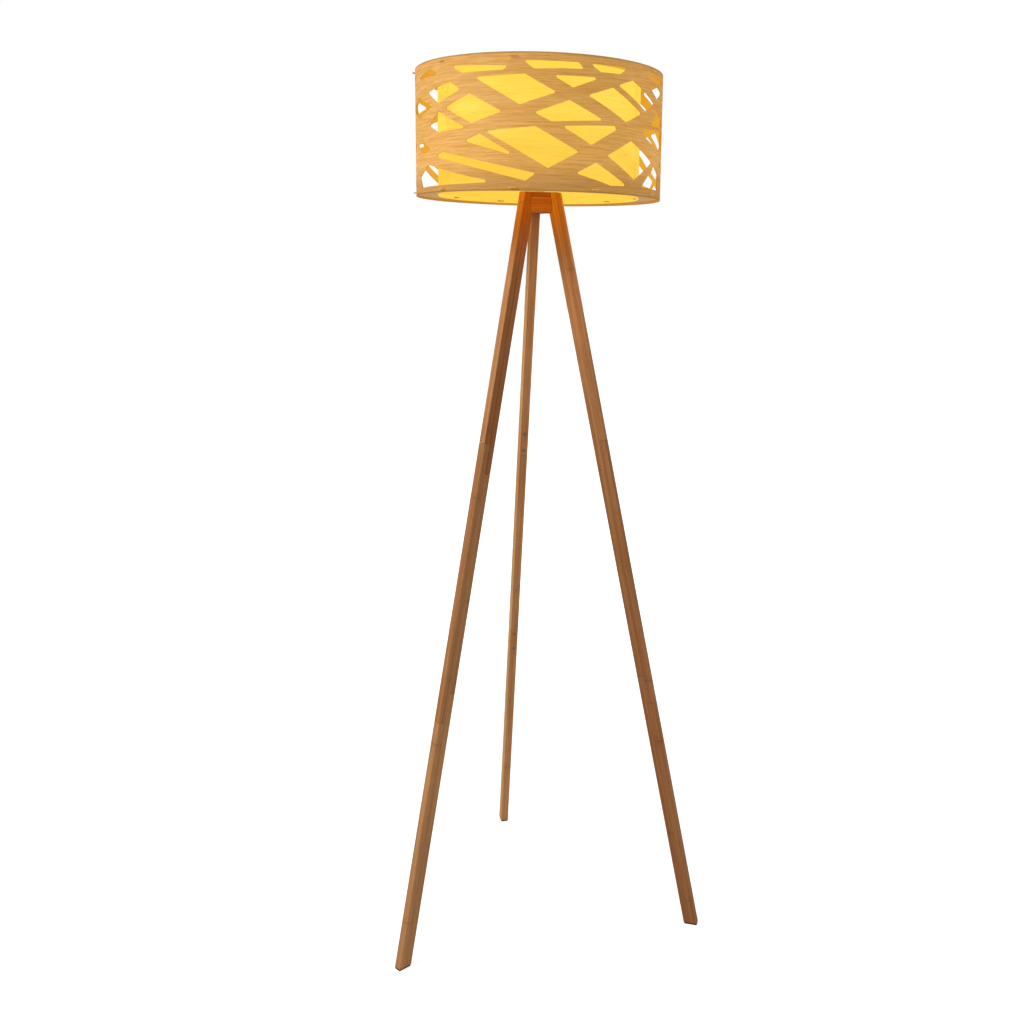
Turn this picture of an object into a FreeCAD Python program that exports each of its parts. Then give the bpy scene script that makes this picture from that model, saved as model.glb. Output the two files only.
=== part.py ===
import FreeCAD, Part
import math
import os

Vector = FreeCAD.Vector
Z_AXIS = Vector(0, 0, 1)
EVERY_THIRD = (0.0, 120.0, 240.0)

# Overall layout: origin on the floor under the lamp's axis, +Z up, millimetres and degrees
leg_directions = {"front_left": -150.0, "front_right": -30.0, "rear": 90.0}
leg_tilt = 12.0
foot_radius = 333.0
leg_top_z = 1434.0

# Legs: two bamboo layers, three sections joined by half-laps
leg_thickness = 26.0
leg_width = 16.0
leg_edge_round = 1.2
section_length = 526.0
lap_length = 56.0
joint_gap = 0.4
lap_bolt_inset = 10.0
bolt_head_radius = 4.5
bolt_head_depth = 3.0
bolt_shank_radius = 2.5
bolt_socket_radius = 1.6
bolt_socket_depth = 2.0
insert_radius = 4.0
insert_length = 9.0
pad_thickness = 3.0
pad_margin = 0.6
hole_slack = 0.05

# Hub: notched block, plate on top, threaded tube through both
block_inradius = 21.2
block_bottom_z = 1397.0
block_height = 28.0
block_bevel = 1.5
plate_inradius = 19.6
corner_cut_radius = 36.0
notch_slack = 0.15
leg_screw_down = 23.0
leg_screw_length = 35.0
leg_screw_radius = 2.0
leg_screw_head_radius = 4.5
screw_cross_reach = 3.0
screw_cross_half_width = 0.5
screw_cross_depth = 1.6
plate_screw_ring = 14.6
plate_screw_length = 20.0
plate_screw_radius = 1.6
plate_screw_head_radius = 3.2
tube_radius = 5.0
tube_bore_radius = 3.5
tube_bottom_z = 1398.5
tube_top_z = 1449.0
nut_recess_radius = 11.0
nut_recess_depth = 6.0
nut_across_flats = 15.0
nut_height = 4.4
washer_radius = 9.5
washer_thickness = 1.0

# Harp saddle, harp and its two locking sleeves
saddle_thickness = 1.6
saddle_width = 13.0
prong_x = 31.0
prong_width = 6.0
prong_height = 15.5
harp_wire_radius = 1.5
harp_foot_x = 34.4
harp_foot_z = 1438.0
harp_straight_top_z = 1486.0
harp_belly_x = 56.0
harp_belly_z = 1548.0
harp_crown_z = 1615.5
harp_side_pull = 70.0
harp_crown_pull = 90.0
crown_radius = 8.0
crown_thickness = 2.0
stud_radius = 3.175
stud_length = 12.0
sleeve_height = 14.0
sleeve_wall = 1.2
sleeve_play = 0.35
sleeve_corner = 2.0

# Lamp holder
cap_radius = 17.0
cap_neck_radius = 11.0
cap_neck_height = 4.0
cap_dome_height = 12.0
cap_skirt_height = 7.0
sheet = 0.8
shell_radius = 16.0
shell_height = 52.0
core_radius = 15.0
core_height = 25.0
screw_shell_bore = 13.4
screw_shell_wall = 0.5
liner_wall = 1.0
contact_radius = 4.0
contact_thickness = 1.4
knob_shaft_radius = 1.5
knob_radius = 5.5
knob_length = 12.0
knob_flutes = 12
knob_flute_radius = 0.7
knob_height_share = 0.55

# Bulb
bulb_screw_radius = 12.95
bulb_screw_height = 22.0
bulb_cap_wall = 0.6
bulb_button_radius = 4.2
bulb_button_height = 1.4
bulb_insulator_height = 3.0
bulb_insulator_radii = (5.0, 11.0)
bulb_neck_radius = 12.3
bulb_neck_in_cap = 6.0
bulb_neck_straight = 14.0
bulb_globe_radius = 30.0
bulb_shoulder_angle = 25.0
bulb_length = 106.0
bulb_glass = 0.9
bulb_gap = 0.3
stem_flare_height = 12.0
stem_waist_radius = 3.0
stem_top_radius = 2.2
filament_foot_spread = 1.4
filament_half_width = 14.0
filament_radius = 0.7
filament_post_radius = 0.4

# Shade: two thin wooden drums held apart by two flat rings
outer_drum_radius = 225.0
outer_drum_wall = 1.5
drum_bottom_z = 1422.0
outer_drum_height = 220.0
inner_drum_radius = 185.0
inner_drum_wall = 1.0
inner_drum_set_back = 2.0
shade_turn = 167.0
opening_corner_round = 2.2
opening_growth = 1.5
opening_cut_inward = 32.0
opening_cut_outward = 7.0
largest_corner_share = 0.45
tabs_per_ring = 10
tab_first_angle = 7.0
ring_from_rim = 5.5
ring_thickness = 1.6
tab_width = 12.0
tab_reach = 4.5
slit_slack = 0.2
slit_reach = 6.0
seam_strip_width = 10.0
seam_strip_thickness = 0.7
strip_gap = 1.0
inner_seam_angles = (30.0, 159.0)

# Shade carrier and finial
hoop_wire_radius = 1.6
hoop_drop = 7.0
arm_turn = 10.0
arm_overlap = 2.5
carrier_plate_radius = 14.0
carrier_plate_thickness = 1.6
running_gap = 0.3
shaft_clearance = 0.075
finial_insert_radius = 5.5
finial_insert_height = 8.0
finial_radius = 11.0
finial_foot_radius = 9.4
finial_waist_radius = 6.8
finial_tip_radius = 4.4
finial_height = 26.0

# Openings in the outer drum: (degrees round the half drum from its seam, height above the lower rim)
front_openings = [
    [(50.5, 202), (76, 197), (74.5, 193), (55.5, 192)],
    [(84.5, 205), (106.5, 205), (108.5, 198), (88, 195)],
    [(113, 205), (130.5, 206), (127, 197), (117, 196)],
    [(63, 181), (84, 184), (96.5, 158), (82, 139)],
    [(97, 183), (115, 184), (104.5, 168)],
    [(112, 156), (123.5, 171), (140.5, 138), (131, 121)],
    [(127, 177), (135, 188), (153, 159), (144.5, 145)],
    [(46, 138), (59, 156), (73.5, 127), (60, 111)],
    [(32.5, 167), (48, 178), (53.5, 165), (40.5, 148)],
    [(34, 112), (40.5, 132), (56, 104), (40.5, 101)],
    [(89, 125), (103, 145), (117.5, 119), (95.5, 113)],
    [(101, 104), (124.5, 110), (125, 106), (113, 79)],
    [(68, 95), (88.5, 102), (106.5, 65), (94, 39)],
    [(57.5, 82), (64, 91), (78.5, 59)],
    [(39, 61), (43, 65), (88, 28), (84.5, 18)],
    [(22, 28), (32, 46), (68, 15), (25, 12)],
    [(121.5, 62), (134.5, 89), (151, 60), (137, 28)],
    [(107, 31), (115.5, 48), (131, 16), (123, 15)],
    [(22, 194), (34, 204), (39.5, 195)],
    [(8, 150), (21.5, 163), (35, 143), (21.5, 129)],
    [(148.5, 186), (157.5, 189), (163.5, 183), (157, 171)],
    [(146, 204), (163.5, 204), (164, 198), (152, 197)],
    [(157, 147), (167, 139), (167.5, 128), (151, 123)],
    [(143, 112), (168, 117), (172, 103), (160, 83), (145, 101)],
    [(154.5, 54), (160.5, 41), (160, 16), (143, 17)],
    [(164, 36), (174, 30), (168, 19)],
    [(18.5, 84), (27, 85), (33.5, 74), (27, 68)],
    [(4, 202), (15, 204), (13, 195), (6, 195)],
    [(4, 87), (9, 96), (14, 86), (8, 74)],
    [(4, 15), (9, 27), (16, 15)],
    [(169, 203), (176, 203), (176, 195), (171, 195)],
    [(171, 184), (176, 171), (171, 160), (166, 171)],
    [(173, 149), (177, 139), (174, 127)],
    [(173, 94), (176, 86), (175, 70), (168, 78)],
    [(164, 64), (173, 58), (176, 44), (168, 48)],
    [(2, 52), (6, 62), (10, 54), (6, 44)],
]
back_openings = [
    [(50.5, 202), (76, 197), (74.5, 193), (55.5, 192)],
    [(84.5, 205), (106.5, 205), (108.5, 198), (88, 195)],
    [(113, 205), (130.5, 206), (127, 197), (117, 196)],
    [(63, 181), (84, 184), (96.5, 158), (82, 139)],
    [(97, 183), (115, 184), (104.5, 168)],
    [(112, 156), (123.5, 171), (140.5, 138), (131, 121)],
    [(46, 138), (59, 156), (73.5, 127), (60, 111)],
    [(89, 125), (103, 145), (117.5, 119), (95.5, 113)],
    [(101, 104), (124.5, 110), (125, 106), (113, 79)],
    [(68, 95), (88.5, 102), (106.5, 65), (94, 39)],
    [(57.5, 82), (64, 91), (78.5, 59)],
    [(39, 61), (43, 65), (88, 28), (84.5, 18)],
    [(107, 31), (115.5, 48), (131, 16), (123, 15)],
    [(27, 208), (11, 210), (3, 197), (18, 184)],
    [(34, 194), (30, 190), (24, 175), (31, 178)],
    [(9, 162), (4, 160), (1, 147), (4, 150)],
    [(18.5, 127), (12.5, 127), (4, 102), (7, 96)],
    [(26, 122), (22, 124), (12.5, 98), (16, 99)],
    [(31, 101), (26, 103), (16, 77), (21, 65)],
    [(34, 70), (29, 72), (25.5, 61), (31, 50)],
    [(14, 68), (7, 53), (10.5, 43), (17, 58)],
    [(20.5, 52), (15, 40), (18, 30), (26, 37)],
    [(4.5, 45), (1.5, 38), (1.5, 27), (6.5, 37)],
    [(13, 32), (8, 23), (17, 21)],
    [(37, 165), (48, 178), (53.5, 165), (42, 148)],
    [(38, 114), (42, 132), (56, 104), (43, 101)],
    [(32, 26), (38, 41), (68, 15), (34, 12)],
    [(127, 177), (135, 188), (146, 172), (136, 158)],
    [(121.5, 62), (134, 89), (143, 72), (134, 36)],
    [(163, 197), (155, 206), (139, 200), (150, 181)],
    [(177, 161), (172.5, 170), (162, 168), (173.5, 152)],
    [(159, 136), (150.5, 148), (145, 143), (149, 127)],
    [(175, 96), (170, 101), (165, 98), (172, 92)],
    [(161, 66), (157, 66), (144, 47), (146, 40)],
    [(165, 55), (148, 27), (150, 14), (172, 14), (176, 30)],
    [(152, 112), (161, 123), (172, 118), (162, 104)],
]


def box(x_from, x_to, y_from, y_to, z_from, z_to):
    size = Vector(x_to - x_from, y_to - y_from, z_to - z_from)
    return Part.makeBox(size.x, size.y, size.z, Vector(x_from, y_from, z_from))


def cylinder(radius, z_from, z_to):
    return Part.makeCylinder(radius, z_to - z_from, Vector(0, 0, z_from))


def ring(outer_radius, inner_radius, z_from, z_to):
    return cylinder(outer_radius, z_from, z_to).cut(cylinder(inner_radius, z_from, z_to))


def turned(shape, angle):
    copy = shape.copy()
    copy.rotate(Vector(0, 0, 0), Z_AXIS, angle)
    return copy


def revolved(profile):
    corners = [Vector(r, 0, z) for r, z in profile]
    face = Part.Face(Part.makePolygon(corners + corners[:1]))
    return face.revolve(Vector(0, 0, 0), Z_AXIS, 360)


def rod(start, end, radius):
    return Part.makeCylinder(radius, (end - start).Length, start, end - start)


def hexagon_prism(across_flats, z_from, z_to):
    corner_radius = across_flats / 2 / math.cos(math.radians(30))
    corners = []
    for k in range(7):
        angle = math.radians(60 * k)
        corners.append(Vector(corner_radius * math.cos(angle), corner_radius * math.sin(angle), z_from))
    return Part.Face(Part.makePolygon(corners)).extrude(Vector(0, 0, z_to - z_from))


# ---- Legs -------------------------------------------------------------------
# In the leg's own frame +X points outward, Y is across and +Z runs up the leg from its top centre.

leg_length = leg_top_z / math.cos(math.radians(leg_tilt))
leg_top_radius = foot_radius - leg_top_z * math.tan(math.radians(leg_tilt))
end_allowance = 12.0


def placed_on_leg(shape, direction):
    copy = shape.copy()
    copy.rotate(Vector(0, 0, 0), Vector(0, 1, 0), -leg_tilt)
    copy.translate(Vector(leg_top_radius, 0, leg_top_z))
    copy.rotate(Vector(0, 0, 0), Z_AXIS, direction)
    return copy


def leg_bar(slack=0.0):
    half_x = leg_thickness / 2 + slack
    half_y = leg_width / 2 + slack
    bar = box(-half_x, half_x, -half_y, half_y, -leg_length - end_allowance, end_allowance)
    long_edges = [edge for edge in bar.Edges if edge.Length > leg_length]
    return bar.makeFillet(leg_edge_round, long_edges)


def layer(inward, down_from, down_to):
    x_from, x_to = (-leg_thickness, 0.0) if inward else (0.0, leg_thickness)
    return box(x_from, x_to, -leg_width, leg_width, -down_to, -down_from)


def leg_section(bar, outer_span, inner_span):
    keep = layer(False, *outer_span).fuse(layer(True, *inner_span))
    return bar.common(keep).removeSplitter()


def lap_bolt_positions():
    first_lap = (section_length - lap_length, section_length)
    second_lap = (2 * section_length - 2 * lap_length, 2 * section_length - lap_length)
    positions = []
    for start, end in (first_lap, second_lap):
        positions += [start + lap_bolt_inset, end - lap_bolt_inset]
    return positions


def across_leg(radius, x_from, x_to, down):
    return rod(Vector(x_from, 0, -down), Vector(x_to, 0, -down), radius)


def lap_bolt(down):
    inner_face = -leg_thickness / 2
    head = across_leg(bolt_head_radius, inner_face + 0.2, inner_face + bolt_head_depth, down)
    shank = across_leg(bolt_shank_radius, inner_face + bolt_head_depth, insert_length - 1.0, down)
    socket = across_leg(bolt_socket_radius, inner_face, inner_face + bolt_socket_depth, down)
    return head.fuse(shank).removeSplitter().cut(socket)


def lap_insert(down):
    sleeve = across_leg(insert_radius, 0.3, insert_length, down)
    return sleeve.cut(across_leg(bolt_shank_radius + hole_slack, 0.0, insert_length, down))


def lap_holes(down):
    inner_face = -leg_thickness / 2
    head = across_leg(bolt_head_radius + hole_slack, inner_face - 1.0, inner_face + bolt_head_depth, down)
    shank = across_leg(bolt_shank_radius + hole_slack, inner_face, 0.0, down)
    insert = across_leg(insert_radius + hole_slack, 0.0, insert_length + hole_slack, down)
    return head.fuse([shank, insert])


def leg_screw(slack=0.0):
    outer_face = leg_thickness / 2
    tip = outer_face - leg_screw_length
    head_depth = leg_screw_head_radius - leg_screw_radius
    head = Part.makeCone(leg_screw_radius + slack, leg_screw_head_radius + slack, head_depth,
                         Vector(outer_face - head_depth, 0, -leg_screw_down), Vector(1, 0, 0))
    shank = across_leg(leg_screw_radius + slack, tip, outer_face - head_depth, leg_screw_down)
    screw = head.fuse(shank)
    if slack:
        return screw.removeSplitter()
    arms = ((screw_cross_reach, screw_cross_half_width), (screw_cross_half_width, screw_cross_reach))
    cross = [box(outer_face - screw_cross_depth, outer_face, -across, across,
                 -leg_screw_down - along, -leg_screw_down + along) for across, along in arms]
    return screw.removeSplitter().cut(cross)


def make_legs():
    bar = leg_bar()
    bolts = lap_bolt_positions()
    first_lap_start = section_length - lap_length
    second_lap_start = 2 * section_length - 2 * lap_length
    second_lap_end = 2 * section_length - lap_length
    far = leg_length + end_allowance
    spans = {
        "top": ((-end_allowance, first_lap_start), (-end_allowance, section_length)),
        "middle": ((first_lap_start + joint_gap, second_lap_end),
                   (section_length + joint_gap, second_lap_start)),
        "bottom": ((second_lap_end + joint_gap, far), (second_lap_start + joint_gap, far)),
    }
    cutters = [lap_holes(down) for down in bolts] + [leg_screw(hole_slack)]
    floor_to_top = box(-foot_radius, 2 * foot_radius, -foot_radius, foot_radius, pad_thickness, leg_top_z)
    nodes = {}
    for part_name, (outer_span, inner_span) in spans.items():
        local = leg_section(bar, outer_span, inner_span).cut(cutters)
        section = placed_on_leg(local, 0.0).common(floor_to_top)
        for leg_name, direction in leg_directions.items():
            nodes["leg_%s_%s" % (leg_name, part_name)] = turned(section, direction)
    directions = leg_directions.values()
    nodes["lap_bolts"] = [placed_on_leg(lap_bolt(down), a) for a in directions for down in bolts]
    nodes["lap_inserts"] = [placed_on_leg(lap_insert(down), a) for a in directions for down in bolts]
    nodes["hub_leg_screws"] = [placed_on_leg(leg_screw(), a) for a in directions]
    return nodes


def foot_pads():
    half_radial = leg_thickness / 2 / math.cos(math.radians(leg_tilt)) - pad_margin
    half_across = leg_width / 2 - pad_margin
    pad = box(foot_radius - half_radial, foot_radius + half_radial, -half_across, half_across,
              0.0, pad_thickness)
    upright = [edge for edge in pad.Edges if abs(edge.tangentAt(edge.FirstParameter).z) > 0.9]
    pad = pad.makeFillet(leg_edge_round, upright)
    return [turned(pad, direction) for direction in leg_directions.values()]


# ---- Hub --------------------------------------------------------------------

def three_sided_prism(inradius, z_from, z_to, bevel):
    corners = []
    for direction in leg_directions.values():
        angle = math.radians(direction)
        corners.append(Vector(2 * inradius * math.cos(angle), 2 * inradius * math.sin(angle), z_from))
    prism = Part.Face(Part.makePolygon(corners + corners[:1])).extrude(Vector(0, 0, z_to - z_from))
    if bevel:
        level = [edge for edge in prism.Edges if abs(edge.tangentAt(edge.FirstParameter).z) < 0.1]
        prism = prism.makeChamfer(bevel, level)
    return prism.common(cylinder(corner_cut_radius, z_from, z_to))


def notched(prism):
    notch = leg_bar(notch_slack)
    screw_hole = leg_screw(hole_slack)
    cutters = []
    for direction in leg_directions.values():
        cutters += [placed_on_leg(notch, direction), placed_on_leg(screw_hole, direction)]
    return prism.cut(cutters)


def plate_screw(slack=0.0):
    top = leg_top_z - 0.2
    head_depth = plate_screw_head_radius - plate_screw_radius
    shank = cylinder(plate_screw_radius + slack, top - plate_screw_length, top - head_depth)
    head = Part.makeCone(plate_screw_radius + slack, plate_screw_head_radius + slack, head_depth,
                         Vector(0, 0, top - head_depth))
    screw = shank.fuse(head).removeSplitter()
    if slack:
        screw = screw.fuse(cylinder(plate_screw_head_radius + slack, top, leg_top_z + 1.0))
    screw.translate(Vector(plate_screw_ring, 0, 0))
    return screw


def make_hub():
    block_top = block_bottom_z + block_height
    face_directions = [direction + 60.0 for direction in leg_directions.values()]
    screw_holes = [turned(plate_screw(hole_slack), a) for a in face_directions]
    recess = cylinder(nut_recess_radius, block_bottom_z - 1.0, block_bottom_z + nut_recess_depth)
    tube_hole = cylinder(tube_radius + notch_slack, block_bottom_z, leg_top_z)
    block = notched(three_sided_prism(block_inradius, block_bottom_z, block_top, block_bevel))
    plate = notched(three_sided_prism(plate_inradius, block_top, leg_top_z, 0.0))
    washer_top = block_bottom_z + nut_recess_depth
    washer_bottom = washer_top - washer_thickness
    nut = hexagon_prism(nut_across_flats, washer_bottom - nut_height, washer_bottom)
    nut_hole = cylinder(tube_radius + hole_slack, block_bottom_z - 1.0, washer_bottom)
    return {
        "hub_block": block.cut([recess, tube_hole] + screw_holes),
        "hub_plate": plate.cut([tube_hole] + screw_holes),
        "hub_plate_screws": [turned(plate_screw(), a) for a in face_directions],
        "hub_tube": ring(tube_radius, tube_bore_radius, tube_bottom_z, tube_top_z),
        "hub_washer": ring(washer_radius, tube_radius + notch_slack, washer_bottom, washer_top),
        "hub_nut": nut.cut(nut_hole),
    }


# ---- Harp -------------------------------------------------------------------

saddle_top_z = leg_top_z + saddle_thickness


def both_sides(shape):
    return [shape, shape.mirror(Vector(0, 0, 0), Vector(1, 0, 0))]


def harp_saddle():
    strip = box(-prong_x - saddle_thickness, prong_x + saddle_thickness,
                -saddle_width / 2, saddle_width / 2, leg_top_z, saddle_top_z)
    prong = box(prong_x, prong_x + saddle_thickness, -prong_width / 2, prong_width / 2,
                leg_top_z, saddle_top_z + prong_height)
    hole = cylinder(tube_radius + notch_slack, leg_top_z, saddle_top_z)
    return strip.fuse(both_sides(prong)).removeSplitter().cut(hole)


def harp():
    foot = Vector(harp_foot_x, 0, harp_foot_z)
    straight_top = Vector(harp_foot_x, 0, harp_straight_top_z)
    belly = Vector(harp_belly_x, 0, harp_belly_z)
    crown = Vector(0, 0, harp_crown_z)
    bow = Part.BSplineCurve()
    upward = Z_AXIS * harp_side_pull
    inward = Vector(-harp_crown_pull, 0, 0)
    bow.interpolate(Points=[straight_top, belly, crown], Tangents=[upward, upward, inward],
                    TangentFlags=[True, True, True])
    path = Part.Wire([Part.makeLine(foot, straight_top), bow.toShape()])
    circle = Part.Wire(Part.makeCircle(harp_wire_radius, foot, Z_AXIS))
    side = path.makePipeShell([circle], True, True)
    crown_bottom = harp_crown_z - harp_wire_radius
    crown_top = crown_bottom + harp_wire_radius * 2 + crown_thickness
    crown_plate = cylinder(crown_radius, crown_top - crown_thickness - harp_wire_radius, crown_top)
    stud = cylinder(stud_radius, crown_top, crown_top + stud_length)
    return side.fuse(both_sides(side)[1:] + [crown_plate, stud]).removeSplitter(), crown_top


def harp_sleeve():
    inner_x = (prong_x - sleeve_play, harp_foot_x + harp_wire_radius + sleeve_play)
    inner_y = prong_width / 2 + sleeve_play
    z_span = (harp_foot_z, harp_foot_z + sleeve_height)
    body = box(inner_x[0] - sleeve_wall, inner_x[1] + sleeve_wall,
               -inner_y - sleeve_wall, inner_y + sleeve_wall, *z_span)
    upright = [edge for edge in body.Edges if abs(edge.tangentAt(edge.FirstParameter).z) > 0.9]
    body = body.makeFillet(sleeve_corner, upright)
    return body.cut(box(inner_x[0], inner_x[1], -inner_y, inner_y, *z_span))


# ---- Lamp holder and bulb ---------------------------------------------------

def make_lamp_holder():
    base = saddle_top_z
    neck_top = base + cap_neck_height
    dome_top = neck_top + cap_dome_height
    skirt_top = dome_top + cap_skirt_height
    bore = tube_radius + hole_slack
    cap = revolved([(bore, base), (cap_neck_radius, base), (cap_neck_radius, neck_top),
                    (cap_radius, dome_top), (cap_radius, skirt_top), (cap_radius - sheet, skirt_top),
                    (cap_radius - sheet, dome_top), (cap_neck_radius - sheet, neck_top + sheet),
                    (bore, neck_top + sheet)])
    shell_bottom = dome_top + 1.0
    shell_top = shell_bottom + shell_height
    core_bottom = shell_bottom + 1.0
    core_top = core_bottom + core_height
    knob_z = core_bottom + core_height * knob_height_share
    shell_bore = shell_radius - sheet / 2
    bead = shell_radius + sheet
    shell = revolved([(shell_bore, shell_bottom), (shell_radius, shell_bottom),
                      (shell_radius, shell_top - 3), (bead, shell_top - 2), (bead, shell_top - 1),
                      (shell_radius, shell_top), (shell_bore, shell_top)])
    shaft_hole = Part.makeCylinder(knob_shaft_radius + shaft_clearance, shell_radius + 2.0,
                                   Vector(0, -4.0, knob_z), Vector(0, -1, 0))
    tube_clearance = cylinder(tube_radius + 1.0, core_bottom - 1.0, knob_z - 6.0)
    core = cylinder(core_radius, core_bottom, core_top).cut([shaft_hole, tube_clearance])
    contact = cylinder(contact_radius, core_top, core_top + contact_thickness)
    screw_shell_outer = screw_shell_bore + screw_shell_wall
    screw_shell = ring(screw_shell_outer, screw_shell_bore, core_top + 0.5, shell_top - 2.0)
    liner_bore = screw_shell_outer + 0.2
    liner = ring(liner_bore + liner_wall, liner_bore, core_top + 0.5, shell_top - 1.0)
    nodes = {
        "socket_cap": cap,
        "socket_shell": shell.cut(shaft_hole),
        "socket_core": core,
        "socket_contact": contact,
        "socket_screw_shell": screw_shell,
        "socket_liner": liner,
        "switch_knob": switch_knob(knob_z),
    }
    return nodes, core_top + contact_thickness


def switch_knob(knob_z):
    start = shell_radius + sheet + 2.0
    shaft = cylinder(knob_shaft_radius, 5.0, start + 4.0)
    grip = cylinder(knob_radius, start, start + knob_length)
    flute = cylinder(knob_flute_radius, start + 2.0, start + knob_length)
    flute.translate(Vector(knob_radius, 0, 0))
    flutes = [turned(flute, k * 360.0 / knob_flutes) for k in range(knob_flutes)]
    knob = grip.cut(flutes).fuse(shaft).removeSplitter()
    knob.rotate(Vector(0, 0, 0), Vector(1, 0, 0), 90)
    knob.translate(Vector(0, 0, knob_z))
    return knob


def make_bulb(contact_top_z):
    base = contact_top_z + bulb_gap
    button_top = base + bulb_button_height
    cone_top = button_top + bulb_insulator_height
    screw_top = cone_top + bulb_screw_height
    neck_z = screw_top - bulb_neck_in_cap
    globe_z = base + bulb_length - bulb_globe_radius
    cap_bore = bulb_screw_radius - bulb_cap_wall
    floor_top = cone_top + bulb_cap_wall
    cap = cylinder(bulb_screw_radius, cone_top, screw_top).cut(cylinder(cap_bore, floor_top, screw_top))
    outer = bulb_outline(bulb_neck_radius, neck_z, globe_z, bulb_globe_radius)
    inner_neck = bulb_neck_radius - bulb_glass
    inner = bulb_outline(inner_neck, neck_z, globe_z, bulb_globe_radius - bulb_glass)
    stem_radius = inner_neck - bulb_gap
    stem_bottom = neck_z + 1.0
    stem_top = globe_z - stem_flare_height
    stem = revolved([(0, stem_bottom), (stem_radius, stem_bottom), (stem_radius, stem_bottom + 1.0),
                     (stem_waist_radius, stem_bottom + stem_flare_height),
                     (stem_top_radius, stem_top), (0, stem_top)])
    coil_z = globe_z + 4.0
    ends = [Vector(side * filament_half_width, 0, coil_z) for side in (-1, 1)]
    feet = [Vector(side * filament_foot_spread, 0, stem_top + 0.1) for side in (-1, 1)]
    posts = [rod(foot, end, filament_post_radius) for foot, end in zip(feet, ends)]
    return {
        "bulb_contact": cylinder(bulb_button_radius, base, button_top),
        "bulb_insulator": Part.makeCone(*bulb_insulator_radii, bulb_insulator_height,
                                        Vector(0, 0, button_top)),
        "bulb_cap": cap,
        "bulb_envelope": outer.cut(inner),
        "bulb_stem": stem,
        "bulb_filament": rod(ends[0], ends[1], filament_radius).fuse(posts).removeSplitter(),
    }


def bulb_outline(neck_radius, neck_z, globe_z, globe_radius):
    shoulder = math.radians(bulb_shoulder_angle)
    start = Vector(neck_radius, 0, neck_z + bulb_neck_straight)
    end = Vector(globe_radius * math.cos(shoulder), 0, globe_z - globe_radius * math.sin(shoulder))
    along_globe = Vector(math.sin(shoulder), 0, math.cos(shoulder))
    flare = Part.BSplineCurve()
    flare.interpolate(Points=[start, end], Tangents=[Z_AXIS * globe_radius, along_globe * globe_radius],
                      TangentFlags=[True, True])
    middle = Vector(globe_radius * math.cos(shoulder), 0, globe_z + globe_radius * math.sin(shoulder))
    top = Vector(0, 0, globe_z + globe_radius)
    bottom = Vector(0, 0, neck_z)
    edges = [Part.makeLine(bottom, Vector(neck_radius, 0, neck_z)),
             Part.makeLine(Vector(neck_radius, 0, neck_z), start), flare.toShape(),
             Part.Arc(end, middle, top).toShape(), Part.makeLine(top, bottom)]
    return Part.Face(Part.Wire(edges)).revolve(Vector(0, 0, 0), Z_AXIS, 360)


# ---- Shade ------------------------------------------------------------------

drum_top_z = drum_bottom_z + outer_drum_height
ring_levels = (drum_bottom_z + ring_from_rim, drum_top_z - ring_from_rim)
tab_angles = [shade_turn + tab_first_angle + k * 360.0 / tabs_per_ring for k in range(tabs_per_ring)]


def grown(points, growth):
    moved = []
    for k, corner in enumerate(points):
        to_before = (points[k - 1] - corner).normalize()
        to_after = (points[(k + 1) % len(points)] - corner).normalize()
        half_angle = to_before.getAngle(to_after) / 2
        bisector = (to_before + to_after).normalize()
        moved.append(corner - bisector * (growth / math.sin(half_angle)))
    return moved


def rounded_outline(points, radius):
    edges = []
    count = len(points)
    entries = []
    for k in range(count):
        before, corner, after = points[k - 1], points[k], points[(k + 1) % count]
        to_before = (before - corner).normalize()
        to_after = (after - corner).normalize()
        half_angle = to_before.getAngle(to_after) / 2
        longest = largest_corner_share * min((before - corner).Length, (after - corner).Length)
        reach = min(radius / math.tan(half_angle), longest)
        bisector = (to_before + to_after).normalize()
        fitted = reach * math.tan(half_angle)
        crest = corner + bisector * (fitted / math.sin(half_angle) - fitted)
        entries.append((corner + to_before * reach, crest, corner + to_after * reach))
    for k in range(count):
        start, crest, end = entries[k]
        next_start = entries[(k + 1) % count][0]
        edges += [Part.Arc(start, crest, end).toShape(), Part.makeLine(end, next_start)]
    return Part.Wire(edges)


def opening_cutter(outline):
    middle = sum(angle for angle, height in outline) / len(outline)
    near = outer_drum_radius - opening_cut_inward
    far = outer_drum_radius + opening_cut_outward
    points = []
    for angle, height in outline:
        across = outer_drum_radius * math.sin(math.radians(angle - middle))
        points.append(Vector(near, across, drum_bottom_z + height))
    face = Part.Face(rounded_outline(grown(points, opening_growth), opening_corner_round))
    return turned(face.extrude(Vector(far - near, 0, 0)), shade_turn + middle)


def slits(radius):
    half_width = tab_width / 2 + slit_slack
    half_height = ring_thickness / 2 + slit_slack
    cutters = []
    for level in ring_levels:
        slit = box(radius - slit_reach, radius + slit_reach, -half_width, half_width,
                   level - half_height, level + half_height)
        cutters += [turned(slit, angle) for angle in tab_angles]
    return cutters


def outer_drum():
    drum = ring(outer_drum_radius, outer_drum_radius - outer_drum_wall, drum_bottom_z, drum_top_z)
    openings = [opening_cutter(outline) for outline in front_openings]
    openings += [turned(opening_cutter(outline), 180.0) for outline in back_openings]
    return drum.cut(openings + slits(outer_drum_radius))


def inner_drum():
    drum = ring(inner_drum_radius, inner_drum_radius - inner_drum_wall,
                drum_bottom_z + inner_drum_set_back, drum_top_z - inner_drum_set_back)
    return drum.cut(slits(inner_drum_radius))


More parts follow.
